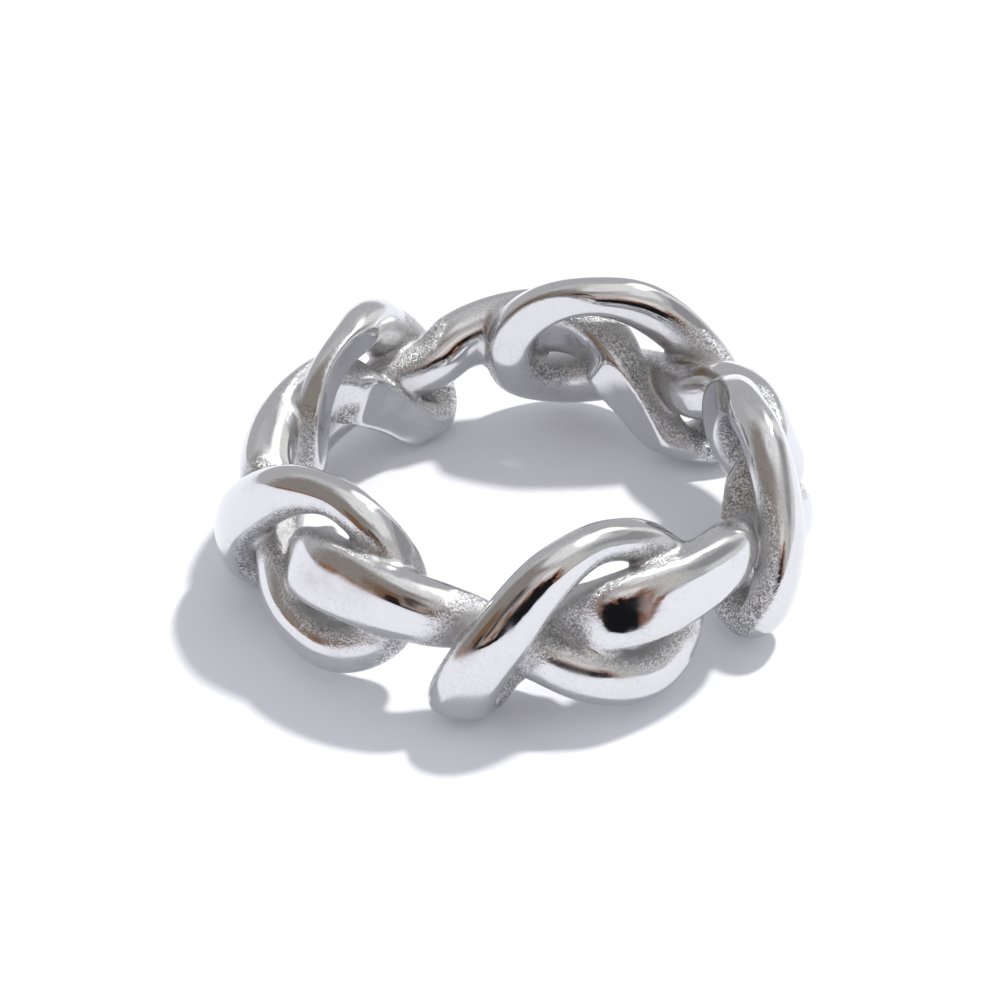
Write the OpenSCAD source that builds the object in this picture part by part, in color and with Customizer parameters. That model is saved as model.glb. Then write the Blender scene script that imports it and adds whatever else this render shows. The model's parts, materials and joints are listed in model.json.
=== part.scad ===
// Knotted band ring: five overhand knots of one strand, cast as a single ring and
// trimmed inside to the round finger hole. +Z is the axis of the finger hole, the
// ring lies flat on z = 0, and the first knot stands at the front.

/* [Finger hole] */
// Diameter of the finger hole that trims the inside of the strand
bore_d = 17.3; // [15:0.1:21]

/* [Band] */
// Depth of the knotted band from the finger hole out to the middle of the outermost strand
band_depth = 3.85; // [3.4:0.05:4.6]
// Height of the band that the strand's middle line is laid out in
band_h = 7.8; // [7:0.1:9.5]
// Number of knots round the ring
knots = 5; // [4:1:6]

/* [Strand] */
// Width of the strand along the band, where it is widest on a plain bend
strand_w = 2.6; // [2:0.05:2.9]
// Thickness of the strand from the finger outwards
strand_t = 2.3; // [1.8:0.05:2.6]
// Fullness of the strand's section, from a squared oval to a plain one
section_round = 0.92; // [0.8:0.02:1]

/* [Hidden] */

// Where the middle of the first knot stands, measured round from +X
FRONT_TURN = -74;
KNOT_PITCH = 360 / knots;
BORE_R = bore_d / 2;
BORE_SIDES = 96;

// Quality of the swept strand: rings between two rows of the route, and sides of a ring
RINGS_PER_ROW = 4;
STRAND_SIDES = 12;
// How far two stretches of the strand run into each other, in rings
LAP = 1;

// The strand's route through one knot. It comes in low behind the hook, runs down in
// front to the bottom, back up the far end, over the top, down the front as the hook,
// under and up the inside, and out through the loop over the far end.
//   along: share of the knot pitch from the middle of the knot
//   up:    share of the band height
//   out:   share of the band depth
//   width, thick: shares of the strand's width and thickness
//   roll:  turn of the strand's face from straight out towards the finger side
ROUTE = [
    // along,    up,    out, width, thick, roll
    [-0.500, 0.570, 0.500, 1.04, 1.00,    6], // bar between two knots
    [-0.360, 0.480, 0.360, 0.90, 0.85,    0], // behind the hook
    [-0.180, 0.390, 0.550, 0.86, 0.80,    0], // down in front of the wrap
    [ 0.000, 0.260, 0.720, 0.92, 0.85,    0], // bottom
    [ 0.170, 0.195, 0.660, 0.90, 0.85,    0], // bottom, far side
    [ 0.310, 0.340, 0.400, 0.88, 1.00,    0], // far end, rising
    [ 0.335, 0.620, 0.200, 0.78, 0.90,    0], // far end, behind the way out
    [ 0.220, 0.830, 0.140, 0.66, 0.85,    0], // top, far side
    [ 0.030, 0.920, 0.220, 0.62, 0.76,    0], // top
    [-0.150, 0.830, 0.500, 0.86, 0.82,    0], // front, falling
    [-0.300, 0.520, 0.820, 1.00, 0.78,    0], // hook
    [-0.385, 0.175, 0.800, 1.04, 0.80,  -40], // foot of the hook
    [-0.350, 0.110, 0.450, 0.94, 0.62, -100], // under
    [-0.260, 0.190, 0.200, 0.70, 0.85, -155], // inside
    [-0.100, 0.405, 0.150, 0.80, 0.92, -180], // inside, rising
    [ 0.040, 0.560, 0.500, 1.12, 0.92, -155], // out through the loop
    [ 0.220, 0.605, 0.570, 1.18, 0.85, -162], // over the far end
];
ROWS = len(ROUTE);
// Row of the top, where the two stretches of a knot meet
TOP_ROW = 8;

// How each cast knot sits off its even place, repeated round the ring:
// degrees round, share of the band height, share of the band depth
SEAT = [
    // round,   up,    out
    [ 0.0,  0.000,  0.00],
    [ 0.0,  0.030,  0.00],
    [-2.0,  0.000,  0.00],
    [-3.0, -0.020, -0.08],
    [ 1.0,  0.000,  0.00],
];

// Row i of the whole closed route, counted on from the first knot
function route_row(i) =
    let (k = floor(i / ROWS),
         row = ROUTE[i - k * ROWS],
         lap = floor(k / knots),
         seat = SEAT[(k - lap * knots) % len(SEAT)])
    [(row[0] + k) * KNOT_PITCH + seat[0],
     row[1] + seat[1],
     row[2] + seat[2],
     row[3],
     row[4],
     row[5] - 180 * k];

// A smooth curve through the rows, and its direction of travel
function blend(a, b, c, d, t) =
    (2 * b + (c - a) * t + (2 * a - 5 * b + 4 * c - d) * t * t
        + (3 * b - a - 3 * c + d) * t * t * t) / 2;
function route_at(s) =
    let (i = floor(s))
    blend(route_row(i - 1), route_row(i), route_row(i + 1), route_row(i + 2), s - i);
function place(row) =
    let (r = BORE_R + band_depth * row[2])
    [r * cos(row[0]), r * sin(row[0]), band_h * row[1]];
function unit(v) = v / norm(v);
SLIGHTLY = 0.001;
function heading(s) = unit(place(route_at(s + SLIGHTLY)) - place(route_at(s - SLIGHTLY)));

// One ring of points round the strand
function squared(v) = sign(v) * pow(abs(v), section_round);
function strand_ring(s) =
    let (row = route_at(s),
         middle = place(row),
         ahead = heading(s),
         out = [cos(row[0]) * cos(row[5]), sin(row[0]) * cos(row[5]), sin(row[5])],
         face = unit(out - ahead * (out * ahead)),
         side = cross(ahead, face),
         w = strand_w * row[3] / 2,
         t = strand_t * row[4] / 2)
    [for (j = [0 : STRAND_SIDES - 1])
        let (a = 360 * j / STRAND_SIDES)
        middle + face * t * squared(cos(a)) + side * w * squared(sin(a))];

// A closed stretch of the strand, between two of its rings counted from the first row
module stretch(from, to) {
    rings = to - from;
    n = STRAND_SIDES;
    points = [for (i = [0 : rings]) each strand_ring((from + i) / RINGS_PER_ROW)];
    skin = [for (i = [0 : rings - 1], j = [0 : n - 1])
        let (a = i * n + j, b = i * n + (j + 1) % n)
        each [[a, b + n, b], [a, a + n, b + n]]];
    start_cap = [[for (j = [0 : n - 1]) j]];
    end_cap = [[for (j = [n - 1 : -1 : 0]) rings * n + j]];
    polyhedron(points, concat(skin, start_cap, end_cap), convexity = 6);
}

module knot_strand(k) {
    first = k * ROWS * RINGS_PER_ROW;
    top = first + TOP_ROW * RINGS_PER_ROW;
    next = first + ROWS * RINGS_PER_ROW;
    stretch(first - LAP, top + LAP);
    stretch(top - LAP, next + LAP);
}

// Height of the lowest point of the strand as it is laid out, set down on z = 0
LOWEST = min([for (i = [0 : knots * ROWS * RINGS_PER_ROW], p = strand_ring(i / RINGS_PER_ROW)) p[2]]);

module knotted_band() {
    color("silver")
    translate([0, 0, -LOWEST])
    rotate([0, 0, FRONT_TURN])
    difference() {
        union() {
            for (k = [0 : knots - 1]) knot_strand(k);
        }
        translate([0, 0, -band_h])
        cylinder(r = BORE_R, h = 3 * band_h, $fn = BORE_SIDES);
    }
}

knotted_band();
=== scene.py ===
import json
import math

import bpy
import numpy as np
import openvdb
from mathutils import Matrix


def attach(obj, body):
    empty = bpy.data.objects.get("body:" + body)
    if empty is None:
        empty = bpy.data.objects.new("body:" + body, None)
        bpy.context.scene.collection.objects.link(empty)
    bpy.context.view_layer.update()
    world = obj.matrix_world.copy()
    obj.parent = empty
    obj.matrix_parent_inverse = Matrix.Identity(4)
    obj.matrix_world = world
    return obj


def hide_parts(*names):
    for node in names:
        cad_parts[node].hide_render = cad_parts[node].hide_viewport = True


bl_info = {
    "name": "Knotted band ring",
    "version": (1, 0, 0),
    "blender": (4, 5, 0),
    "location": "View3D > Sidebar > Knotted band",
    "description": "Makes a cast and polished ring of five knots, and a pale studio stage for it",
    "category": "Add Mesh",
}

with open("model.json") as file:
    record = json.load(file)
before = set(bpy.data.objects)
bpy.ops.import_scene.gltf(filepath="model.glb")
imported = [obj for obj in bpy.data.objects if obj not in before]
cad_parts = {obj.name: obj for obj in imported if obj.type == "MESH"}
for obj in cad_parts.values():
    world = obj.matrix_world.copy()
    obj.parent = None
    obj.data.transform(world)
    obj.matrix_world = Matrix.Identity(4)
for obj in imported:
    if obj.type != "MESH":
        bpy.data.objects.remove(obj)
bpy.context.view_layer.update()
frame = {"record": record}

MM = 0.001
BAND_NODE = "knotted_band"

# The band's own sizes, the same as the solid's
BAND_DEPTH = 3.85 * MM
BAND_HEIGHT = 7.8 * MM
STRAND_WIDTH = 2.6 * MM
STRAND_THICKNESS = 2.3 * MM
FULLNESS = 0.92
# Number of knots, and where the first one stands, in degrees round from +X
KNOTS = 5
FIRST_KNOT_TURN = -74.0

# The strand's route through one knot, the same as the solid's:
# along (share of the knot pitch), up (share of the band height), out (share of the
# band depth), width and thick (shares of the strand's), roll (degrees), full (share
# of the section's fullness; less is squarer)
ROUTE = (
    (-0.500, 0.570, 0.500, 1.04, 1.00, 6, 0.90),  # bar between two knots
    (-0.360, 0.480, 0.360, 0.90, 0.85, 0, 1.00),  # behind the hook
    (-0.180, 0.390, 0.550, 0.86, 0.80, 0, 1.00),  # down in front of the wrap
    (0.000, 0.260, 0.720, 0.92, 0.85, 0, 1.00),  # bottom
    (0.170, 0.195, 0.660, 0.90, 0.85, 0, 1.00),  # bottom, far side
    (0.310, 0.340, 0.400, 0.88, 1.00, 0, 1.00),  # far end, rising
    (0.335, 0.620, 0.200, 0.78, 0.90, 0, 0.90),  # far end, behind the way out
    (0.220, 0.830, 0.140, 0.66, 0.85, 0, 0.90),  # top, far side
    (0.030, 0.920, 0.220, 0.62, 0.76, 0, 1.00),  # top
    (-0.150, 0.830, 0.500, 0.86, 0.82, 0, 1.00),  # front, falling
    (-0.300, 0.520, 0.820, 1.00, 0.78, 0, 1.00),  # hook
    (-0.385, 0.175, 0.800, 1.04, 0.80, -40, 0.90),  # foot of the hook
    (-0.350, 0.110, 0.450, 0.94, 0.62, -100, 0.80),  # under
    (-0.260, 0.190, 0.200, 0.70, 0.85, -155, 0.80),  # inside
    (-0.100, 0.405, 0.150, 0.80, 0.92, -180, 0.56),  # inside, rising
    (0.040, 0.560, 0.500, 1.12, 0.92, -155, 0.58),  # out through the loop
    (0.220, 0.605, 0.570, 1.18, 0.85, -162, 0.68),  # over the far end
)
# How each cast knot sits off its even place: degrees round, share up, share out
SEAT = (
    (0.0, 0.000, 0.00),
    (0.0, 0.030, 0.00),
    (-2.0, 0.000, 0.00),
    (-3.0, -0.020, -0.08),
    (1.0, 0.000, 0.00),
)
# Rows laid before the first and after the last row of the ring, so that it closes smoothly
LEAD_ROWS = 3
# Rings swept for each row of the route, and points round each ring
RINGS_PER_ROW = 12
SIDES = 48


def length(name, description, default, **limits):
    """A property that holds a length in metres"""
    return bpy.props.FloatProperty(name=name, description=description, default=default,
                                   unit="LENGTH", subtype="DISTANCE", precision=6, **limits)


def colour(name, description, default):
    """A property that holds a colour"""
    return bpy.props.FloatVectorProperty(name=name, description=description, default=default,
                                         size=3, min=0.0, max=1.0, subtype="COLOR")


def share(name, description, default):
    """A property that holds a share from 0 to 1"""
    return bpy.props.FloatProperty(name=name, description=description, default=default,
                                   min=0.0, max=1.0, subtype="FACTOR")


def hole_radius():
    """The finger hole's radius in metres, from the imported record"""
    for mount in frame["record"]["mounts"]:
        if mount["name"] == "finger_hole":
            return mount["dims"]["r_mm"] * MM
    raise ValueError("the packed record has no mount named finger_hole")


class BandSizes(bpy.types.PropertyGroup):
    """Sizes of the knotted band"""
    hole_diameter: length("Hole diameter", "Diameter of the finger hole", 2 * hole_radius())
    band_depth: length("Band depth", "From the finger hole to the middle of the outermost strand",
                       BAND_DEPTH)
    band_height: length("Band height", "Height that the strand's middle line is laid out in",
                        BAND_HEIGHT)
    strand_width: length("Strand width", "Width of the strand along the band", STRAND_WIDTH)
    strand_thickness: length("Strand thickness", "Thickness of the strand from the finger out",
                             STRAND_THICKNESS)
    fullness: share("Section fullness", "Fullness of the strand's section", FULLNESS)
    fillet: length("Cast fillet", "How softly two strands flow together where they touch", 0.4 * MM)
    rim: length("Hole rim", "Softness of the edge left by trimming the finger hole", 0.18 * MM)
    mesh_size: length("Mesh size", "Size of one face of the skin", 0.143 * MM)


class SteelLook(bpy.types.PropertyGroup):
    """Finish of the polished steel"""
    steel: colour("Steel", "Colour of the polished metal", (0.70, 0.70, 0.71))
    peak: colour("Grain peaks", "Colour of the high grains where the wheel did not reach",
                 (0.97, 0.97, 0.98))
    pit: colour("Grain pits", "Colour of the pits between the grains", (0.27, 0.27, 0.275))
    tired: colour("Mottled steel", "Colour of the fine mottling of the polished metal",
                  (0.57, 0.57, 0.58))
    # Painted shade: a darker grey laid on the metal deep in the narrowest gaps
    crevice_shade: colour("Crevice", "Colour of the metal deep in the narrowest gaps", (0.55, 0.55, 0.55))
    polish: share("Polish roughness", "Roughness of the polished faces", 0.03)
    dull: share("Dull roughness", "Roughness of the duller patches of the polished faces", 0.22)
    satin: share("Satin roughness", "Roughness next to the recesses", 0.20)
    grain: share("Grain roughness", "Roughness of the cast faces in the recesses", 0.30)
    grain_size: length("Grain size", "Size of one grain of the cast faces", 0.08 * MM)
    grain_depth: length("Grain depth", "Depth of the cast grain", 0.045 * MM)
    line_depth: length("Line depth", "Depth of the polishing lines", 0.0025 * MM)
    wave_depth: length("Wave depth", "Height of the slight waves left by the wheel", 0.025 * MM)


class StageLook(bpy.types.PropertyGroup):
    """Floor and light of the studio"""
    floor: colour("Floor", "Colour of the floor", (0.86, 0.86, 0.88))
    key_power: bpy.props.FloatProperty(name="Key light", description="Power of the key light",
                                       default=6.5, min=0.0, unit="POWER")
    soft_light: colour("Soft light", "Plain soft light from all round", (0.68, 0.68, 0.73))
    room: bpy.props.FloatProperty(name="Room", description="Brightness of the room in the steel",
                                  default=1.08, min=0.0)


def node(tree, kind, inputs=None, **settings):
    """A node with its settings, and its inputs given as values or as other nodes' outputs"""
    made = tree.nodes.new(kind)
    for name, value in settings.items():
        setattr(made, name, value)
    for key, value in (inputs or {}).items():
        if isinstance(value, bpy.types.NodeSocket):
            tree.links.new(value, made.inputs[key])
        else:
            made.inputs[key].default_value = value
    return made


def calc(tree, op, a, b=0.0):
    """The result of a Math node"""
    return node(tree, "ShaderNodeMath", {0: a, 1: b}, operation=op).outputs[0]


def vector(tree, op, a, b=None, scale=None):
    """The result of a Vector Math node"""
    inputs = {0: a}
    if b is not None:
        inputs[1] = b
    if scale is not None:
        inputs["Scale"] = scale
    made = node(tree, "ShaderNodeVectorMath", inputs, operation=op)
    return made.outputs["Value" if op == "DOT_PRODUCT" else "Vector"]


def mixed(tree, mask, a, b):
    """A number or colour that goes from a to b as the mask rises from 0 to 1"""
    kind = "FLOAT" if isinstance(b, float) else "RGBA"
    # Where a mix of this kind has its mask, its two sides and its result
    at_mask, at_a, at_b, at_result = (0, 2, 3, 0) if kind == "FLOAT" else (0, 6, 7, 2)
    blend = node(tree, "ShaderNodeMix", {at_mask: mask, at_a: a, at_b: b}, data_type=kind)
    return blend.outputs[at_result]


def placed(name, data):
    """A new object in the scene"""
    made = bpy.data.objects.new(name, data)
    bpy.context.scene.collection.objects.link(made)
    return made


def kept(tree, name, kind="FLOAT"):
    """Reads back a named attribute"""
    return node(tree, "GeometryNodeInputNamedAttribute", {"Name": name},
                data_type=kind).outputs["Attribute"]


def keep(tree, geometry, name, value, kind="FLOAT_VECTOR"):
    """Stores a named attribute on the points"""
    return node(tree, "GeometryNodeStoreNamedAttribute",
                {"Geometry": geometry, "Name": name, "Value": value},
                data_type=kind, domain="POINT").outputs[0]


def new_tree(name, sockets):
    """A geometry tree with its inputs; gives the tree, its input node's sockets and their ids"""
    tree = bpy.data.node_groups.new(name, "GeometryNodeTree")
    tree.interface.new_socket(name="Geometry", in_out="INPUT", socket_type="NodeSocketGeometry")
    ids = {}
    for label, kind, value in sockets:
        made = tree.interface.new_socket(name=label, in_out="INPUT", socket_type=kind)
        if value is not None:
            made.default_value = value
        ids[label] = made.identifier
    tree.interface.new_socket(name="Geometry", in_out="OUTPUT", socket_type="NodeSocketGeometry")
    return tree, node(tree, "NodeGroupInput").outputs, ids


def close_tree(tree, geometry, material):
    """Ends a geometry tree with real faces in one material"""
    geometry = node(tree, "GeometryNodeRealizeInstances", {0: geometry}).outputs[0]
    geometry = node(tree, "GeometryNodeSetMaterial",
                    {"Geometry": geometry, "Material": material}).outputs[0]
    node(tree, "NodeGroupOutput", {"Geometry": geometry})


def route_line():
    """The whole route as a chain of edges, laid out flat: turn round the finger, up and out"""
    rows = len(ROUTE)
    points, shapes = [], []
    for i in range(-LEAD_ROWS, KNOTS * rows + LEAD_ROWS + 1):
        knot, row = divmod(i, rows)
        along, up, out, width, thick, roll, full = ROUTE[row]
        turn, lift, push = SEAT[knot % KNOTS]
        angle = FIRST_KNOT_TURN + (along + knot) * 360 / KNOTS + turn
        points.append((math.radians(angle), up + lift, out + push))
        shapes.append((width, thick, math.radians(roll - 180 * knot), full))
    mesh = bpy.data.meshes.new("strand_route")
    mesh.from_pydata(points, [(i, i + 1) for i in range(len(points) - 1)], [])
    for column, name in enumerate(("width", "thick", "roll", "full")):
        made = mesh.attributes.new(name, "FLOAT", "POINT")
        made.data.foreach_set("value", [shape[column] for shape in shapes])
    return mesh


def strand_tree():
    """Sweeps the strand's section along the route, wrapped round the finger hole"""
    tree, given, ids = new_tree("Knotted strand", (
        ("Hole Radius", "NodeSocketFloat", hole_radius()),
        ("Band Depth", "NodeSocketFloat", BAND_DEPTH),
        ("Band Height", "NodeSocketFloat", BAND_HEIGHT),
        ("Strand Width", "NodeSocketFloat", STRAND_WIDTH),
        ("Strand Thickness", "NodeSocketFloat", STRAND_THICKNESS),
        ("Section Fullness", "NodeSocketFloat", FULLNESS),
        ("Rings Per Row", "NodeSocketInt", RINGS_PER_ROW),
        ("Sides", "NodeSocketInt", SIDES),
        ("Lead Rows", "NodeSocketInt", LEAD_ROWS),
        ("Material", "NodeSocketMaterial", None),
    ))
    line = node(tree, "GeometryNodeMeshToCurve", {"Mesh": given["Geometry"]}).outputs[0]
    line = node(tree, "GeometryNodeCurveSplineType", {"Curve": line},
                spline_type="CATMULL_ROM").outputs[0]
    line = node(tree, "GeometryNodeSetSplineResolution",
                {"Geometry": line, "Resolution": given["Rings Per Row"]}).outputs[0]
    line = node(tree, "GeometryNodeResampleCurve", {"Curve": line}, mode="EVALUATED").outputs[0]
    # The lead-in rows go, but for one ring past each end
    index = node(tree, "GeometryNodeInputIndex").outputs[0]
    total = node(tree, "GeometryNodeAttributeDomainSize", {0: line},
                 component="CURVE").outputs["Point Count"]
    lead = calc(tree, "SUBTRACT",
                calc(tree, "MULTIPLY", given["Lead Rows"], given["Rings Per Row"]), 1.5)
    before = calc(tree, "LESS_THAN", index, lead)
    last = calc(tree, "SUBTRACT", calc(tree, "SUBTRACT", total, lead), 1.0)
    after = calc(tree, "GREATER_THAN", index, last)
    line = node(tree, "GeometryNodeDeleteGeometry",
                {"Geometry": line, "Selection": calc(tree, "ADD", before, after)},
                domain="POINT").outputs[0]
    # Wrap the flat layout round the finger
    flat = node(tree, "ShaderNodeSeparateXYZ",
                {0: node(tree, "GeometryNodeInputPosition").outputs[0]}).outputs
    line = keep(tree, line, "turn", flat["X"], "FLOAT")
    radius = calc(tree, "ADD", given["Hole Radius"],
                  calc(tree, "MULTIPLY", given["Band Depth"], flat["Z"]))
    wrapped = node(tree, "ShaderNodeCombineXYZ", {
        "X": calc(tree, "MULTIPLY", radius, calc(tree, "COSINE", flat["X"])),
        "Y": calc(tree, "MULTIPLY", radius, calc(tree, "SINE", flat["X"])),
        "Z": calc(tree, "MULTIPLY", given["Band Height"], flat["Y"]),
    }).outputs[0]
    line = node(tree, "GeometryNodeSetPosition", {"Geometry": line, "Position": wrapped}).outputs[0]
    # The section's two half axes at each ring
    turn, roll = kept(tree, "turn"), kept(tree, "roll")
    flatness = calc(tree, "COSINE", roll)
    out = node(tree, "ShaderNodeCombineXYZ", {
        "X": calc(tree, "MULTIPLY", calc(tree, "COSINE", turn), flatness),
        "Y": calc(tree, "MULTIPLY", calc(tree, "SINE", turn), flatness),
        "Z": calc(tree, "SINE", roll),
    }).outputs[0]
    ahead = node(tree, "GeometryNodeInputTangent").outputs[0]
    slip = vector(tree, "SCALE", ahead, scale=vector(tree, "DOT_PRODUCT", out, ahead))
    face = vector(tree, "NORMALIZE", vector(tree, "SUBTRACT", out, slip))
    side = vector(tree, "CROSS_PRODUCT", ahead, face)

    def half(size, share_name):
        whole = calc(tree, "MULTIPLY", given[size], kept(tree, share_name))
        return calc(tree, "MULTIPLY", whole, 0.5)

    line = keep(tree, line, "middle", node(tree, "GeometryNodeInputPosition").outputs[0])
    line = keep(tree, line, "to_face",
                vector(tree, "SCALE", face, scale=half("Strand Thickness", "thick")))
    line = keep(tree, line, "to_side",
                vector(tree, "SCALE", side, scale=half("Strand Width", "width")))
    ring = node(tree, "GeometryNodeCurvePrimitiveCircle",
                {"Resolution": given["Sides"], "Radius": 1.0}, mode="RADIUS").outputs[0]
    ring = keep(tree, ring, "round", node(tree, "GeometryNodeInputPosition").outputs[0])
    tube = node(tree, "GeometryNodeCurveToMesh",
                {"Curve": line, "Profile Curve": ring, "Fill Caps": True}).outputs[0]
    # Each ring of the tube takes its place and its squared oval
    about = node(tree, "ShaderNodeSeparateXYZ", {0: kept(tree, "round", "FLOAT_VECTOR")}).outputs

    def fuller(value):
        bent = calc(tree, "POWER", calc(tree, "ABSOLUTE", value),
                    calc(tree, "MULTIPLY", given["Section Fullness"], kept(tree, "full")))
        return calc(tree, "MULTIPLY", calc(tree, "SIGN", value), bent)

    across = vector(tree, "SCALE", kept(tree, "to_face", "FLOAT_VECTOR"), scale=fuller(about["X"]))
    along = vector(tree, "SCALE", kept(tree, "to_side", "FLOAT_VECTOR"), scale=fuller(about["Y"]))
    skin = vector(tree, "ADD", kept(tree, "middle", "FLOAT_VECTOR"),
                  vector(tree, "ADD", across, along))
    tube = node(tree, "GeometryNodeSetPosition", {"Geometry": tube, "Position": skin}).outputs[0]
    close_tree(tree, tube, given["Material"])
    return tree, ids


def crumb_tree():
    """Deletes crumbs of skin that hang on nothing"""
    tree, given, ids = new_tree("Drop crumbs", (
        ("Fewest Points", "NodeSocketInt", 1000),
        ("Material", "NodeSocketMaterial", None),
    ))
    island = node(tree, "GeometryNodeInputMeshIsland").outputs["Island Index"]
    counted = node(tree, "GeometryNodeAccumulateField", {"Value": 1.0, "Group ID": island},
                   data_type="FLOAT", domain="POINT").outputs["Total"]
    small = calc(tree, "LESS_THAN", counted, given["Fewest Points"])
    mesh = node(tree, "GeometryNodeDeleteGeometry",
                {"Geometry": given["Geometry"], "Selection": small}, domain="POINT").outputs[0]
    close_tree(tree, mesh, given["Material"])
    return tree, ids


def made_mesh(thing):
    """The object's shape with its modifiers, as a plain mesh"""
    graph = bpy.context.evaluated_depsgraph_get()
    return bpy.data.meshes.new_from_object(thing.evaluated_get(graph),
                                           preserve_all_data_layers=True, depsgraph=graph)


def add_tree(thing, name, tree, ids, values):
    """A geometry modifier with its inputs set before it is first evaluated"""
    made = thing.modifiers.new(name, "NODES")
    made.node_group = tree
    for label, value in values.items():
        made[ids[label]] = value
    return made


class Strand:
    """The strand's sections, read off its swept rings, and how far a point is from its skin.
    Lengths are in millimetres."""

    # Stands for the distance to a pass that isn't there
    NO_PASS = 9.0
    # No point of the skin is farther than this from the strand's middle line
    REACH = 2.7
    # Points looked up at a time, to spare memory
    BATCH = 8192
    # Least gap between two section planes, and least distance off an axis, so that nothing
    # is divided by zero
    LEAST_GAP = 1e-6
    LEAST_OFF = 1e-9
    # Least softness of the valley between two passes
    LEAST_FILLET = 1e-4
    # Two passes of the strand don't flow together when nearer than the first of these
    # along it, and do so fully when farther apart than the second
    APART = (0.8, 3.0)

    def __init__(self, tube, sizes):
        rings = len(tube.vertices) // SIDES

        def column(name):
            kind, wide = ("value", 1) if name == "full" else ("vector", 3)
            read = np.zeros(len(tube.vertices) * wide, np.float32)
            tube.attributes[name].data.foreach_get(kind, read)
            # The rings past each end, and the last one, which is the first again, go
            return read.reshape(rings, SIDES, wide)[1:-2, 0].astype(np.float64)

        self.middle = column("middle") / MM
        self.face = column("to_face") / MM
        self.side = column("to_side") / MM
        self.power = 2 / (sizes.fullness * column("full")[:, 0])
        self.count = len(self.middle)
        step = np.roll(self.middle, -1, 0) - np.roll(self.middle, 1, 0)
        size = np.linalg.norm(step, axis=1)
        self.ahead = step / size[:, None]
        self.travelled = np.cumsum(size / 2)
        self.fillet = sizes.fillet / MM
        self.rim = sizes.rim / MM
        self.hole = sizes.hole_diameter / 2 / MM
        # Whether sections are taken from a curve through four rings or a line through two,
        # and whether to_pass keeps each point's place on its stretch
        self.fine = True
        self.keep_place = False

    def passes(self, points, keep_count=5, reach=REACH):
        """For each point, the stretches whose section planes go through it, nearest first"""
        found = np.zeros((len(points), keep_count), int)
        real = np.zeros((len(points), keep_count), bool)
        middle = self.middle.astype(np.float32)
        ahead = self.ahead.astype(np.float32)
        square = (middle ** 2).sum(1)
        offset = (middle * ahead).sum(1)
        for a in range(0, len(points), self.BATCH):
            p = points[a:a + self.BATCH].astype(np.float32)
            # Squared distance to each ring, and whether the point is past the ring's plane
            far = (p ** 2).sum(1)[:, None] - 2 * p @ middle.T + square
            past = p @ ahead.T - offset > 0
            crossing = (past != np.roll(past, -1, 1)) & (far < reach ** 2)
            far = np.where(crossing, far, np.inf)
            nearest = np.argpartition(far, keep_count, 1)[:, :keep_count]
            found[a:a + self.BATCH] = nearest
            real[a:a + self.BATCH] = np.isfinite(np.take_along_axis(far, nearest, 1))
        return found, real

    def to_pass(self, points, ring):
        """Distance to the skin of one stretch of the strand, which starts at a ring"""
        after = (ring + 1) % self.count
        start = ((points - self.middle[ring]) * self.ahead[ring]).sum(1)
        end = ((points - self.middle[after]) * self.ahead[after]).sum(1)
        gap = start - end
        gap = np.where(np.abs(gap) < self.LEAST_GAP, self.LEAST_GAP, gap)
        # How far the point is on the way from this ring to the next, and each ring's share in
        # the section there
        w = np.clip(start / gap, -0.5, 1.5)
        if self.fine:
            shares = (
                (-1, (-w + 2 * w ** 2 - w ** 3) / 2),
                (0, (2 - 5 * w ** 2 + 3 * w ** 3) / 2),
                (1, (w + 4 * w ** 2 - 3 * w ** 3) / 2),
                (2, (w ** 3 - w ** 2) / 2),
            )
        else:
            shares = ((0, 1 - w), (1, w))
        middle = face = side = 0
        for k, part in shares:
            at = (ring + k) % self.count
            same_way = np.sign((self.face[ring] * self.face[at]).sum(1)) * part
            middle = middle + self.middle[at] * part[:, None]
            face = face + self.face[at] * same_way[:, None]
            side = side + self.side[at] * same_way[:, None]
        power = self.power[ring] * (1 - w) + self.power[after] * w
        thick = np.linalg.norm(face, axis=1)
        wide = np.linalg.norm(side, axis=1)
        off = points - middle
        x = np.abs((off * face).sum(1)) / thick ** 2 + self.LEAST_OFF
        y = np.abs((off * side).sum(1)) / wide ** 2 + self.LEAST_OFF
        # Size of the squared oval through the point against the section's, 1 on the skin
        level = (x ** power + y ** power) ** (1 / power)
        if self.keep_place:
            self.place = np.stack(((off * face).sum(1) / thick, (off * side).sum(1) / wide,
                                   self.travelled[ring]), 1)
        # How fast that size grows with distance
        dx = (x / level) ** (power - 1) / thick
        dy = (y / level) ** (power - 1) / wide
        return (level - 1) / np.hypot(dx, dy)

    def distance(self, points, found, real):
        """Distance to the band's skin: all passes flowing together, trimmed by the hole"""
        to = np.stack([np.where(real[:, k], self.to_pass(points, found[:, k]), self.NO_PASS)
                       for k in range(found.shape[1])], 1)
        order = np.argsort(to, 1)
        to = np.take_along_axis(to, order, 1)
        place = self.travelled[np.take_along_axis(found, order, 1)]
        # Each further pass is joined on with a rounded valley, the fillet
        near = to[:, 0]
        none, full = self.APART
        for k in range(1, to.shape[1]):
            apart = np.abs(place[:, k:k + 1] - place[:, :k])
            apart = np.minimum(apart, self.travelled[-1] - apart).min(1)
            u = np.clip((apart - none) / (full - none), 0, 1)
            soft = self.fillet * u * u * (3 - 2 * u) + self.LEAST_FILLET
            h = np.clip(soft - np.abs(near - to[:, k]), 0, None) / soft
            near = np.minimum(near, to[:, k]) - h * h * soft / 4
        # The finger hole is cut away with a rounded edge, the rim
        trim = self.hole - np.hypot(points[:, 0], points[:, 1])
        h = np.clip(self.rim - np.abs(near - trim), 0, None) / self.rim
        return np.maximum(near, trim) + h * h * self.rim / 4

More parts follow.
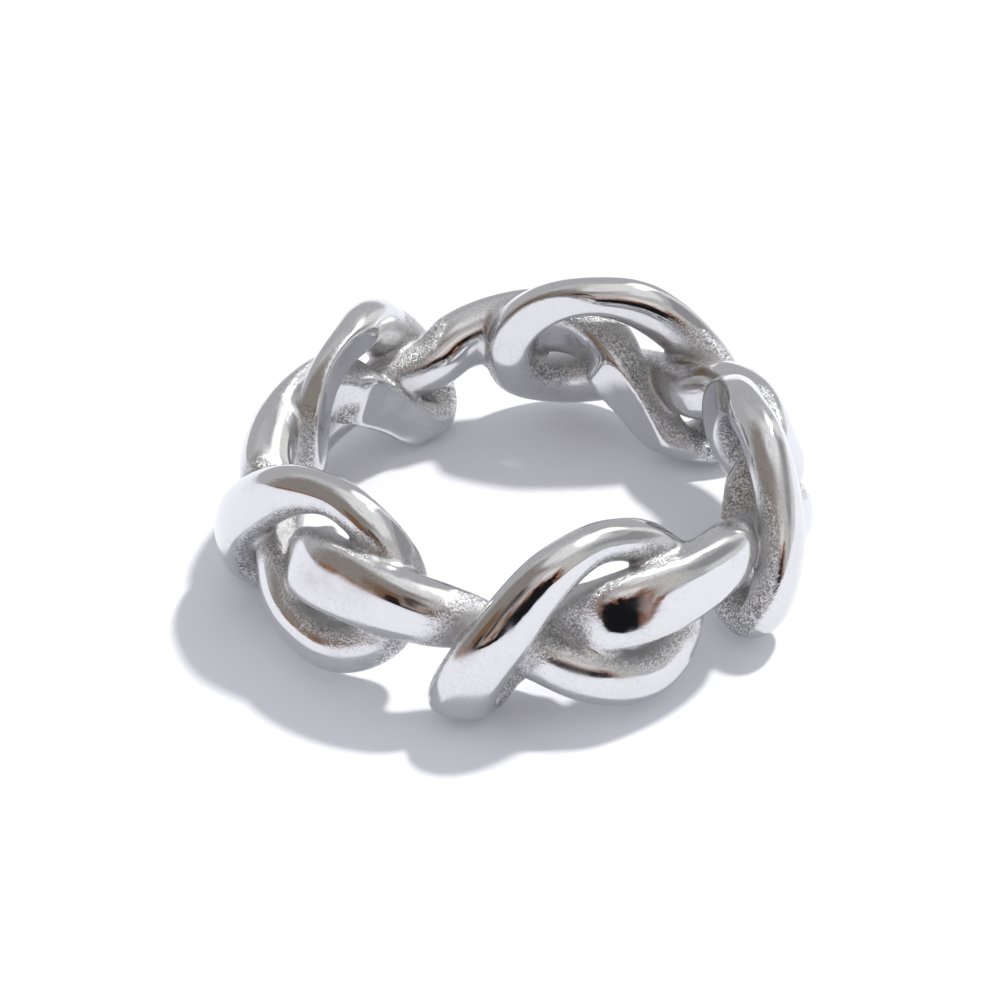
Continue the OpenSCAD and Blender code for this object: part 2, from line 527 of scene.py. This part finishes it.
    def slope(self, points, found, real, step=1e-3):
        """Distance to the skin, and the way in which it grows"""
        here = self.distance(points, found, real)
        grown = [self.distance(points + np.eye(3)[i] * step, found, real) for i in range(3)]
        return here, (np.stack(grown, 1) - here[:, None]) / step


def grain_line(strand, points):
    """Each point's place on its stretch of the strand: across the section twice, and along"""
    found, real = strand.passes(points, 3)
    strand.keep_place = True
    best = np.full(len(points), np.inf)
    line = np.zeros((len(points), 3))
    for k in range(found.shape[1]):
        off = np.where(real[:, k], strand.to_pass(points, found[:, k]), np.inf)
        nearer = off < best
        best = np.where(nearer, off, best)
        line[nearer] = strand.place[nearer]
    strand.keep_place = False
    return line * MM


# Points nearer the strand's middle line than the first are inside it, and farther than the
# second outside it, in millimetres
SURE_INSIDE = 0.6
SURE_OUTSIDE = 1.8


def even_skin(strand, size):
    """An even mesh of the skin, found on a regular grid of points this far apart"""
    low = strand.middle.min(0) - SURE_OUTSIDE
    counts = np.ceil((strand.middle.max(0) + SURE_OUTSIDE - low) / size).astype(int) + 1
    lines = [low[axis] + size * np.arange(counts[axis]) for axis in range(3)]
    # Each grid point's squared distance to the strand's middle line
    nearest = np.full(counts, np.inf)
    span = int(SURE_OUTSIDE / size) + 1
    for middle in strand.middle:
        window, squares = [], []
        for axis in range(3):
            at = int(round((middle[axis] - low[axis]) / size))
            part = slice(max(at - span, 0), at + span + 1)
            window.append(part)
            squares.append((lines[axis][part] - middle[axis]) ** 2)
        block = nearest[tuple(window)]
        far = squares[0][:, None, None] + squares[1][:, None] + squares[2]
        np.minimum(block, far, out=block)
    # The exact distance to the skin, where it could be near
    trim = strand.hole - np.hypot(lines[0][:, None], lines[1])[:, :, None]
    off = np.maximum(np.where(nearest < SURE_INSIDE ** 2, -1.0, 1.0), trim)
    unsure = (nearest >= SURE_INSIDE ** 2) & (nearest < SURE_OUTSIDE ** 2) & (trim < 2 * size)
    points = low + size * np.argwhere(unsure)
    strand.fine = False
    found, real = strand.passes(points, 4)
    off[unsure] = strand.distance(points, found, real)
    grid = openvdb.FloatGrid(1.0)
    grid.copyFromArray(off.astype(np.float32))
    points, quads = grid.convertToQuads()
    return low + size * points.astype(np.float64), quads.astype(int)


def eased(values, quads, times, part=0.5):
    """Moves every point's values part of the way to the mean of its neighbours'"""
    edges = np.vstack([quads[:, [k, (k + 1) % 4]] for k in range(4)])
    beside = np.bincount(edges.ravel(), minlength=len(values))
    for _ in range(times):
        total = np.zeros_like(values)
        for a, b in ((0, 1), (1, 0)):
            for axis in range(values.shape[1]):
                total[:, axis] += np.bincount(edges[:, a], values[edges[:, b], axis], len(values))
        values = values + part * (total / beside[:, None] - values)
    return values


# Longest single move of a point towards the skin, in millimetres, and the least steepness
# that the distance is taken to grow with
LONGEST_MOVE = 0.1
LEAST_STEEPNESS = 0.2


def laid_on_skin(strand, points, quads, rounds=2):
    """Moves an even mesh onto the exact skin; gives its points and the skin's directions"""
    for k in range(rounds):
        # The last round takes the finer sections and all passes
        last = k == rounds - 1
        strand.fine = last
        if not last:
            points = eased(points, quads, 2)
        found, real = strand.passes(points, 5 if last else 3)
        for _ in range(2 if last else 1):
            off, way = strand.slope(points, found, real)
            steep = np.maximum((way * way).sum(1), LEAST_STEEPNESS)
            move = np.clip(off, -LONGEST_MOVE, LONGEST_MOVE)[:, None] * way / steep[:, None]
            points = points - move
    off, way = strand.slope(points, found, real)
    return points, way / np.linalg.norm(way, axis=1)[:, None]


def out_of_reach(strand, points, way, wheel):
    """How far a polishing wheel of this radius is kept off each point, as a share of it"""
    stood = points + way * wheel
    found, real = strand.passes(stood, 4, wheel + strand.REACH)
    room = strand.distance(stood, found, real)
    return np.clip(1 - room / wheel, 0, 1)


# Radii in millimetres of the polishing wheels that leave the recesses grainy
BROAD_WHEEL = 3.0
SMALL_WHEEL = 1.5
POINT_WHEEL = 0.6
# Share of the grain that the polishing of the finger hole's side takes off
INSIDE_POLISH = 0.65


def wear_marks(strand, points, way, quads):
    """Marks for each point of the skin: recess, from the wheels that shape the polish, and
    the mark for painted shade, in gaps so narrow that not even a small point gets in"""
    middle = np.hypot(points[:, 0], points[:, 1])
    inward = np.clip(-(way[:, :2] * points[:, :2]).sum(1) / middle, 0, 1)
    recess = np.maximum(out_of_reach(strand, points, way, BROAD_WHEEL),
                        out_of_reach(strand, points, way, SMALL_WHEEL))
    marks = {
        "recess": recess * (1 - INSIDE_POLISH * inward),
        # Where the painted shade of the narrowest gaps goes
        "crevice_shade": out_of_reach(strand, points, way, POINT_WHEEL),
    }
    return {name: eased(values[:, None], quads, 3)[:, 0] for name, values in marks.items()}


# Repeats in a metre of the patterns on the steel: the broken edge of the grain, the duller
# patches, and the waves of a hand-held wheel
EDGE_PATCHES = 900.0
DULL_PATCHES = 330.0
WHEEL_WAVES = 650.0
# Repeats in a metre of the polishing lines: across the strand, twice, and along it
LINE_STRETCH = (12000.0, 12000.0, 700.0)
# Where each mark of the finish begins to show, and where it is full
GRAIN_SHOWS = (0.18, 0.52)
SATIN_SHOWS = (-0.04, 0.34)
SALT_SHOWS = (-0.32, 0.32)
PITS_SHOW = (0.15, 0.27)
PITTED_AREA = (0.06, 0.40)
DULL_SHOWS = (-0.06, 0.12)
MOTTLE_SHOWS = (-0.10, 0.20)
# Share of the lines' and of the mottling's strength that is left on the cleanest polish, and
# share of the grain's depth that is left in the satin
CLEAN_LINES = 0.35
CLEAN_MOTTLE = 0.25
SATIN_DEPTH = 0.12
# How much rougher the polish is on the high lines than halfway down them
LINE_ROUGHNESS = 0.06


def mask_group(name, vectors, numbers, masks):
    """A shader group that puts out masks; gives it and its input node's sockets"""
    tree = bpy.data.node_groups.new(name, "ShaderNodeTree")
    for label in vectors:
        tree.interface.new_socket(name=label, in_out="INPUT", socket_type="NodeSocketVector")
    for label in numbers:
        tree.interface.new_socket(name=label, in_out="INPUT", socket_type="NodeSocketFloat")
    for label in masks:
        tree.interface.new_socket(name=label, in_out="OUTPUT", socket_type="NodeSocketFloat")
    return tree, node(tree, "NodeGroupInput").outputs


def wear_group():
    """Shader group: where the cast grain is left, where the polish is only satin or dull, the
    brightness of the single grains, and the height in metres of grain, lines and waves"""
    tree, given = mask_group(
        "Cast and polished", ("Place", "Grain Line"),
        ("Recess", "Grain Size", "Grain Depth", "Line Depth", "Wave Depth"),
        ("Grain", "Satin", "Dull", "Lines", "Height", "Salt", "Pits", "Mottle"))
    place, recess = given["Place"], given["Recess"]

    def plus(a, b):
        return calc(tree, "ADD", a, b)

    def times(a, b):
        return calc(tree, "MULTIPLY", a, b)

    def noise(at, scale, detail, roughness=0.5):
        made = node(tree, "ShaderNodeTexNoise",
                    {"Vector": at, "Scale": scale, "Detail": detail, "Roughness": roughness})
        return calc(tree, "SUBTRACT", made.outputs["Fac"], 0.5)

    def cells(scale, feature, output):
        return node(tree, "ShaderNodeTexVoronoi", {"Vector": place, "Scale": scale},
                    feature=feature).outputs[output]

    def rise(value, low_high):
        return node(tree, "ShaderNodeMapRange",
                    {"Value": value, "From Min": low_high[0], "From Max": low_high[1]},
                    interpolation_type="SMOOTHSTEP").outputs["Result"]

    # Grain in the recesses, with a broken edge, and satin beside it
    fine = calc(tree, "DIVIDE", 1.0, given["Grain Size"])
    patch = noise(place, EDGE_PATCHES, 4.0)
    broken = plus(times(patch, 0.45), times(noise(place, fine, 2.0), 0.35))
    grain = rise(plus(recess, broken), GRAIN_SHOWS)
    satin = rise(plus(recess, times(patch, 0.30)), SATIN_SHOWS)
    # Height of the rough grain, of the lines along the strand and of the waves
    stretched = node(tree, "ShaderNodeVectorMath", {0: given["Grain Line"], 1: LINE_STRETCH},
                     operation="MULTIPLY").outputs["Vector"]
    lines = noise(stretched, 1.0, 4.0)
    rough = plus(noise(place, fine, 4.0, 0.65), times(cells(fine, "F1", "Distance"), 0.5))
    grainy = plus(grain, times(satin, SATIN_DEPTH))
    height = plus(times(times(rough, grainy), given["Grain Depth"]),
                  times(times(lines, plus(satin, CLEAN_LINES)), given["Line Depth"]))
    height = plus(height, times(noise(place, WHEEL_WAVES, 1.0), given["Wave Depth"]))
    # Each grain has a brightness of its own
    single = node(tree, "ShaderNodeSeparateXYZ", {0: cells(times(fine, 1.5), "SMOOTH_F1", "Color")})
    single = calc(tree, "SUBTRACT", single.outputs["X"], 0.5)
    clumps = plus(noise(place, times(fine, 1.4), 3.0, 0.7),
                  noise(place, times(fine, 0.5), 3.0, 0.7))
    salt = rise(plus(times(single, 0.8), clumps), SALT_SHOWS)
    # A few pits, duller patches and a fine mottling are left in the polished faces
    pits = times(rise(noise(place, times(fine, 0.9), 1.0), PITS_SHOW),
                 rise(plus(patch, times(satin, 0.5)), PITTED_AREA))
    dull = rise(plus(noise(place, DULL_PATCHES, 2.0), times(patch, 0.3)), DULL_SHOWS)
    mottle = times(rise(noise(place, times(fine, 0.7), 4.0, 0.7), MOTTLE_SHOWS),
                   plus(CLEAN_MOTTLE, times(plus(dull, satin), 0.45)))
    node(tree, "NodeGroupOutput", {"Grain": grain, "Satin": satin, "Lines": lines, "Dull": dull,
                                   "Height": height, "Salt": salt, "Pits": pits, "Mottle": mottle})
    return tree


def steel_material(look):
    """Mirror-polished steel, with the cast grain left in the recesses and a painted shade in the
    narrowest gaps
    """
    made = bpy.data.materials.new("polished_steel")
    made.use_nodes = True
    tree = made.node_tree
    skin = tree.nodes["Principled BSDF"]

    def mark(name, output="Fac"):
        return node(tree, "ShaderNodeAttribute", attribute_name=name).outputs[output]

    wear = node(tree, "ShaderNodeGroup", {
        "Place": node(tree, "ShaderNodeTexCoord").outputs["Object"],
        "Grain Line": mark("grain_line", "Vector"), "Recess": mark("recess"),
        "Grain Size": look.grain_size, "Grain Depth": look.grain_depth,
        "Line Depth": look.line_depth, "Wave Depth": look.wave_depth,
    }, node_tree=wear_group()).outputs
    rough = mixed(tree, wear["Dull"], look.polish, look.dull)
    rough = mixed(tree, wear["Satin"], rough, look.satin)
    rough = mixed(tree, wear["Grain"], rough, look.grain)
    rough = calc(tree, "ADD", rough, calc(tree, "MULTIPLY", wear["Lines"], LINE_ROUGHNESS))
    grains = mixed(tree, wear["Salt"], (*look.pit, 1), (*look.peak, 1))
    colour_now = mixed(tree, wear["Mottle"], (*look.steel, 1), (*look.tired, 1))
    colour_now = mixed(tree, wear["Pits"], colour_now, (*look.pit, 1))
    colour_now = mixed(tree, wear["Grain"], colour_now, grains)
    # Painted shade: the metal is darkened in the narrowest gaps, where not even a small point wheel
    # gets in
    colour_now = mixed(tree, mark("crevice_shade"), colour_now, (*look.crevice_shade, 1))
    bump = node(tree, "ShaderNodeBump", {"Height": wear["Height"], "Distance": 1.0})
    tree.links.new(colour_now, skin.inputs["Base Color"])
    tree.links.new(rough, skin.inputs["Roughness"])
    tree.links.new(bump.outputs["Normal"], skin.inputs["Normal"])
    skin.inputs["Metallic"].default_value = 1.0
    return made


def floor_material(look):
    """A plain pale floor without gloss"""
    made = bpy.data.materials.new("pale_floor")
    made.use_nodes = True
    skin = made.node_tree.nodes["Principled BSDF"]
    skin.inputs["Base Color"].default_value = (*look.floor, 1)
    skin.inputs["Roughness"].default_value = 0.9
    skin.inputs["Specular IOR Level"].default_value = 0.0
    return made


def direction(turn, up):
    """The way that points so many degrees round from +X and up"""
    a, e = math.radians(turn), math.radians(up)
    return np.array((math.cos(a) * math.cos(e), math.sin(a) * math.cos(e), math.sin(e)))


# Where the key light stands: degrees round from +X and up, how far off and how wide, in metres
KEY_FROM = (46.0, 58.0)
KEY_AWAY = 0.9
KEY_WIDTH = 0.075

# The camera: degrees up from the floor, lens in millimetres, how far back it stands, and how
# far it is moved up and sideways in its own picture, in metres
CAMERA_UP = 36.0
CAMERA_LENS = 195.4
CAMERA_BACK = 0.23
CAMERA_LIFT = 0.00237
CAMERA_ASIDE = -0.000805

# Half the width of the floor, in metres
FLOOR_REACH = 2.0

# The room's plain colour, low and high, how fine the rags on its patches' edges are, and how
# square its patches' corners are, from 2 for an oval
ROOM_LOW = (0.50, 0.50, 0.515)
ROOM_HIGH = (0.50, 0.50, 0.51)
RAG_SCALE = 8.0
CORNERS = 3.0

# What stands round the ring, as the steel mirrors it: degrees round from +X and up of its
# middle, half its width and height in degrees, how soft and how ragged its edge is, colour
ROOM = (
    # round, up, wide, high, soft, ragged, colour
    (-140, 62, 54, 22, 0.35, 0.6, (0.280, 0.270, 0.265)),  # shaded ceiling, front left
    (150, 58, 40, 18, 0.35, 0.6, (0.600, 0.600, 0.612)),  # pale ceiling, back left
    (8, 70, 44, 19, 0.30, 0.7, (0.900, 0.900, 0.900)),  # lit ceiling, back right
    (-150, 28, 42, 44, 0.22, 0.7, (0.290, 0.262, 0.238)),  # tan wall, front left
    (-138, 16, 13, 20, 0.12, 1.0, (0.210, 0.125, 0.080)),  # brown patch
    (-132, 6, 5, 11, 0.10, 1.2, (0.025, 0.018, 0.015)),  # dark gap beside it
    (-106, 10, 13, 14, 0.12, 1.0, (0.430, 0.340, 0.285)),  # pale wood colour, front
    (-96, 6, 4, 12, 0.12, 1.4, (0.330, 0.160, 0.110)),  # red-brown edge
    (-104, 36, 15, 7, 0.12, 1.2, (0.060, 0.044, 0.038)),  # dark arch over the front
    (-118, 24, 4, 13, 0.12, 1.2, (0.080, 0.055, 0.045)),  # its left leg
    (-62, 36, 30, 22, 0.25, 0.7, (0.600, 0.565, 0.555)),  # pale wall, front right
    (-66, 36, 12, 7, 0.15, 1.0, (0.850, 0.820, 0.800)),  # bright patch on it
    (-36, 26, 12, 22, 0.20, 0.7, (0.620, 0.610, 0.570)),  # warm wall, right
    (-156, 2, 20, 4, 0.15, 0.8, (0.300, 0.150, 0.080)),  # orange line, low at the left
    (-92, 1, 48, 4, 0.15, 0.9, (0.020, 0.015, 0.013)),  # dark line, low at the front
    (-71, 9, 27, 18, 0.08, 2.2, (0.300, 0.130, 0.080)),  # rust edge round the next one
    (-74, 6, 24, 15, 0.06, 2.2, (0.010, 0.010, 0.012)),  # black patch, front
    (6, 29, 24, 12, 0.15, 0.8, (0.340, 0.340, 0.350)),  # grey patch, right
    (12, 5, 28, 8, 0.15, 0.9, (0.760, 0.760, 0.760)),  # pale band, low at the right
    (48, 18, 8, 24, 0.35, 0.6, (0.860, 0.860, 0.840)),  # pale band under the window
    (60, 46, 9, 12, 0.22, 0.5, (1.450, 1.450, 1.420)),  # window, back right
)


def patch_group():
    """Shader group: a soft ragged patch in one direction"""
    tree, given = mask_group("Room patch", (), (
        "Round", "Up", "Raggedness", "Middle Round", "Middle Up", "Half Width", "Half Height",
        "Softness", "Ragged"), ("Mask",))
    level = calc(tree, "COSINE", calc(tree, "RADIANS", given["Up"]))
    turn = calc(tree, "SUBTRACT", given["Round"], given["Middle Round"])
    turn = node(tree, "ShaderNodeMath", {0: turn, 1: 180.0, 2: -180.0}, operation="WRAP").outputs[0]
    wide = calc(tree, "DIVIDE", calc(tree, "MULTIPLY", turn, level), given["Half Width"])
    high = calc(tree, "DIVIDE", calc(tree, "SUBTRACT", given["Up"], given["Middle Up"]),
                given["Half Height"])
    powers = calc(tree, "ADD", calc(tree, "POWER", calc(tree, "ABSOLUTE", wide), CORNERS),
                  calc(tree, "POWER", calc(tree, "ABSOLUTE", high), CORNERS))
    off = calc(tree, "ADD", calc(tree, "POWER", powers, 1 / CORNERS),
               calc(tree, "MULTIPLY", given["Raggedness"], given["Ragged"]))
    mask = node(tree, "ShaderNodeMapRange",
                {"Value": off, "From Min": calc(tree, "SUBTRACT", 1.0, given["Softness"]),
                 "From Max": calc(tree, "ADD", 1.0, given["Softness"]),
                 "To Min": 1.0, "To Max": 0.0},
                interpolation_type="SMOOTHSTEP").outputs["Result"]
    node(tree, "NodeGroupOutput", {"Mask": mask})
    return tree


def room_world(look):
    """The studio: what the steel mirrors, a soft plain light on the rest, and a pale backdrop"""
    world = bpy.data.worlds.new("studio_room")
    world.use_nodes = True
    tree = world.node_tree
    tree.nodes.clear()
    way = node(tree, "ShaderNodeTexCoord").outputs["Generated"]
    part = node(tree, "ShaderNodeSeparateXYZ", {0: way}).outputs
    round_ = calc(tree, "DEGREES", calc(tree, "ARCTAN2", part["Y"], part["X"]))
    up = calc(tree, "DEGREES", calc(tree, "ARCSINE", part["Z"]))
    ragged = node(tree, "ShaderNodeTexNoise", {"Vector": way, "Scale": RAG_SCALE, "Detail": 5.0,
                                               "Roughness": 0.65}).outputs["Fac"]
    ragged = calc(tree, "SUBTRACT", ragged, 0.5)
    height = node(tree, "ShaderNodeMapRange", {"Value": up, "From Min": 0.0, "From Max": 90.0})
    shade = node(tree, "ShaderNodeValToRGB", {"Fac": height.outputs["Result"]})
    stops = shade.color_ramp.elements
    stops[0].color = (*ROOM_LOW, 1)
    stops[1].color = (*ROOM_HIGH, 1)
    colour_now = shade.outputs["Color"]
    group = patch_group()
    for middle_round, middle_up, wide, high, soft, rag, tint in ROOM:
        patch = node(tree, "ShaderNodeGroup", {
            "Round": round_, "Up": up, "Raggedness": ragged, "Middle Round": middle_round,
            "Middle Up": middle_up, "Half Width": wide, "Half Height": high, "Softness": soft,
            "Ragged": rag,
        }, node_tree=group)
        colour_now = mixed(tree, patch.outputs["Mask"], colour_now, (*tint, 1))
    mirrored = node(tree, "ShaderNodeBackground", {"Color": colour_now, "Strength": look.room})
    soft_light = node(tree, "ShaderNodeBackground", {"Color": (*look.soft_light, 1)})
    backdrop = node(tree, "ShaderNodeBackground", {"Color": (1, 1, 1, 1)})
    ray = node(tree, "ShaderNodeLightPath").outputs
    seen = node(tree, "ShaderNodeMixShader", {0: ray["Is Glossy Ray"], 1: soft_light.outputs[0],
                                              2: mirrored.outputs[0]}).outputs[0]
    seen = node(tree, "ShaderNodeMixShader", {0: ray["Is Camera Ray"], 1: seen,
                                              2: backdrop.outputs[0]}).outputs[0]
    node(tree, "ShaderNodeOutputWorld", {"Surface": seen})
    return world


def swept_strand(thing, sizes, steel):
    """The strand's sections, read off the route once its tree has swept it"""
    tree, ids = strand_tree()
    sweep = add_tree(thing, "Knotted strand", tree, ids, {
        "Hole Radius": sizes.hole_diameter / 2, "Band Depth": sizes.band_depth,
        "Band Height": sizes.band_height, "Strand Width": sizes.strand_width,
        "Strand Thickness": sizes.strand_thickness, "Section Fullness": sizes.fullness,
        "Sides": SIDES, "Material": steel,
    })
    strand = Strand(made_mesh(thing), sizes)
    thing.modifiers.remove(sweep)
    return strand


def without_crumbs(thing, steel):
    """The object's mesh once its tree has deleted the crumbs"""
    tree, ids = crumb_tree()
    add_tree(thing, "Drop crumbs", tree, ids, {"Material": steel})
    mesh = made_mesh(thing)
    thing.modifiers.clear()
    if not mesh.polygons:
        raise RuntimeError("the band came out empty")
    return mesh


def read_mesh(mesh):
    """The mesh's points in millimetres, and the corners of its faces"""
    points = np.zeros(len(mesh.vertices) * 3)
    mesh.vertices.foreach_get("co", points)
    corners = np.zeros(len(mesh.polygons) * 4, int)
    mesh.polygons.foreach_get("vertices", corners)
    return points.reshape(-1, 3) / MM, corners.reshape(-1, 4)


def finish_mesh(mesh, points, way, marks, line_place):
    """Puts the laid points on the mesh, with their marks and the skin's directions"""
    mesh.vertices.foreach_set("co", (points * MM).ravel())
    for name in [a.name for a in mesh.attributes if a.domain == "POINT" and not a.is_required]:
        mesh.attributes.remove(mesh.attributes[name])
    for name, values in marks.items():
        mesh.attributes.new(name, "FLOAT", "POINT").data.foreach_set("value", values)
    along = mesh.attributes.new("grain_line", "FLOAT_VECTOR", "POINT")
    along.data.foreach_set("vector", line_place.ravel())
    mesh.polygons.foreach_set("use_smooth", [True] * len(mesh.polygons))
    mesh.update()
    mesh.normals_split_custom_set_from_vertices(way.tolist())


class KNOTTED_OT_band(bpy.types.Operator):
    """Make the polished band of five knots"""
    bl_idname = "knotted.band"
    bl_label = "Polished band"

    def execute(self, context):
        sizes = context.scene.band_sizes
        steel = steel_material(context.scene.steel_look)
        band = placed("polished_band", route_line())
        strand = swept_strand(band, sizes, steel)

        mesh_size = sizes.mesh_size / MM * 1
        points, quads = even_skin(strand, mesh_size)
        skin = bpy.data.meshes.new("polished_band")
        skin.from_pydata(points * MM, [], quads.tolist())
        band.data = skin
        band.data = without_crumbs(band, steel)

        points, quads = read_mesh(band.data)
        points, way = laid_on_skin(strand, points, quads)
        strand.fine = False
        marks = wear_marks(strand, points, way, quads)
        line_place = grain_line(strand, points)
        points[:, 2] -= points[:, 2].min()
        finish_mesh(band.data, points, way, marks, line_place)

        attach(band, "root")
        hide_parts(BAND_NODE)
        return {"FINISHED"}


class KNOTTED_OT_stage(bpy.types.Operator):
    """Set up the floor, the lights and the camera"""
    bl_idname = "knotted.stage"
    bl_label = "Studio stage"

    def execute(self, context):
        scene = context.scene
        look = scene.stage_look
        far = FLOOR_REACH
        mesh = bpy.data.meshes.new("floor")
        mesh.from_pydata([(-far, -far, 0), (far, -far, 0), (far, far, 0), (-far, far, 0)], [],
                         [(0, 1, 2, 3)])
        mesh.materials.append(floor_material(look))
        floor = placed("floor", mesh)
        # The floor doesn't keep the soft light from below off the ring
        floor.visible_shadow = False

        scene.world = room_world(look)

        key = bpy.data.lights.new("key_light", "AREA")
        key.shape = "DISK"
        key.size = KEY_WIDTH
        key.energy = look.key_power
        lamp = placed("key_light", key)
        lamp.location = direction(*KEY_FROM) * KEY_AWAY
        lamp.rotation_euler = (math.radians(90 - KEY_FROM[1]), 0, math.radians(KEY_FROM[0] + 90))

        lens = bpy.data.cameras.new("camera")
        lens.lens = CAMERA_LENS
        lens.clip_start = MM
        eye = placed("camera", lens)
        up = math.radians(CAMERA_UP)
        eye.location = (CAMERA_ASIDE, -CAMERA_BACK * math.cos(up) + CAMERA_LIFT * math.sin(up),
                        CAMERA_BACK * math.sin(up) + CAMERA_LIFT * math.cos(up))
        eye.rotation_euler = (math.pi / 2 - up, 0, 0)
        scene.camera = eye
        scene.view_settings.view_transform = "Standard"
        return {"FINISHED"}


class KNOTTED_PT_ring(bpy.types.Panel):
    """Lists the ring's sizes, finishes and steps"""
    bl_idname = "KNOTTED_PT_ring"
    bl_label = "Knotted band ring"
    bl_space_type = "VIEW_3D"
    bl_region_type = "UI"
    bl_category = "Knotted band"

    def draw(self, context):
        scene = context.scene
        for group, step in ((scene.band_sizes, None), (scene.steel_look, "knotted.band"),
                            (scene.stage_look, "knotted.stage")):
            for name in group.__annotations__:
                self.layout.prop(group, name)
            if step:
                self.layout.operator(step)


CLASSES = (BandSizes, SteelLook, StageLook, KNOTTED_OT_band, KNOTTED_OT_stage, KNOTTED_PT_ring)
GROUPS = {"band_sizes": BandSizes, "steel_look": SteelLook, "stage_look": StageLook}


def register():
    """Makes the properties, the steps and the panel known"""
    for kind in CLASSES:
        bpy.utils.register_class(kind)
    for name, kind in GROUPS.items():
        setattr(bpy.types.Scene, name, bpy.props.PointerProperty(type=kind))


def unregister():
    """Takes them away again"""
    for name in GROUPS:
        delattr(bpy.types.Scene, name)
    for kind in reversed(CLASSES):
        bpy.utils.unregister_class(kind)


def main():
    """Makes the ring and its stage"""
    register()
    bpy.ops.knotted.band()
    bpy.ops.knotted.stage()


if __name__ == "__main__":
    main()
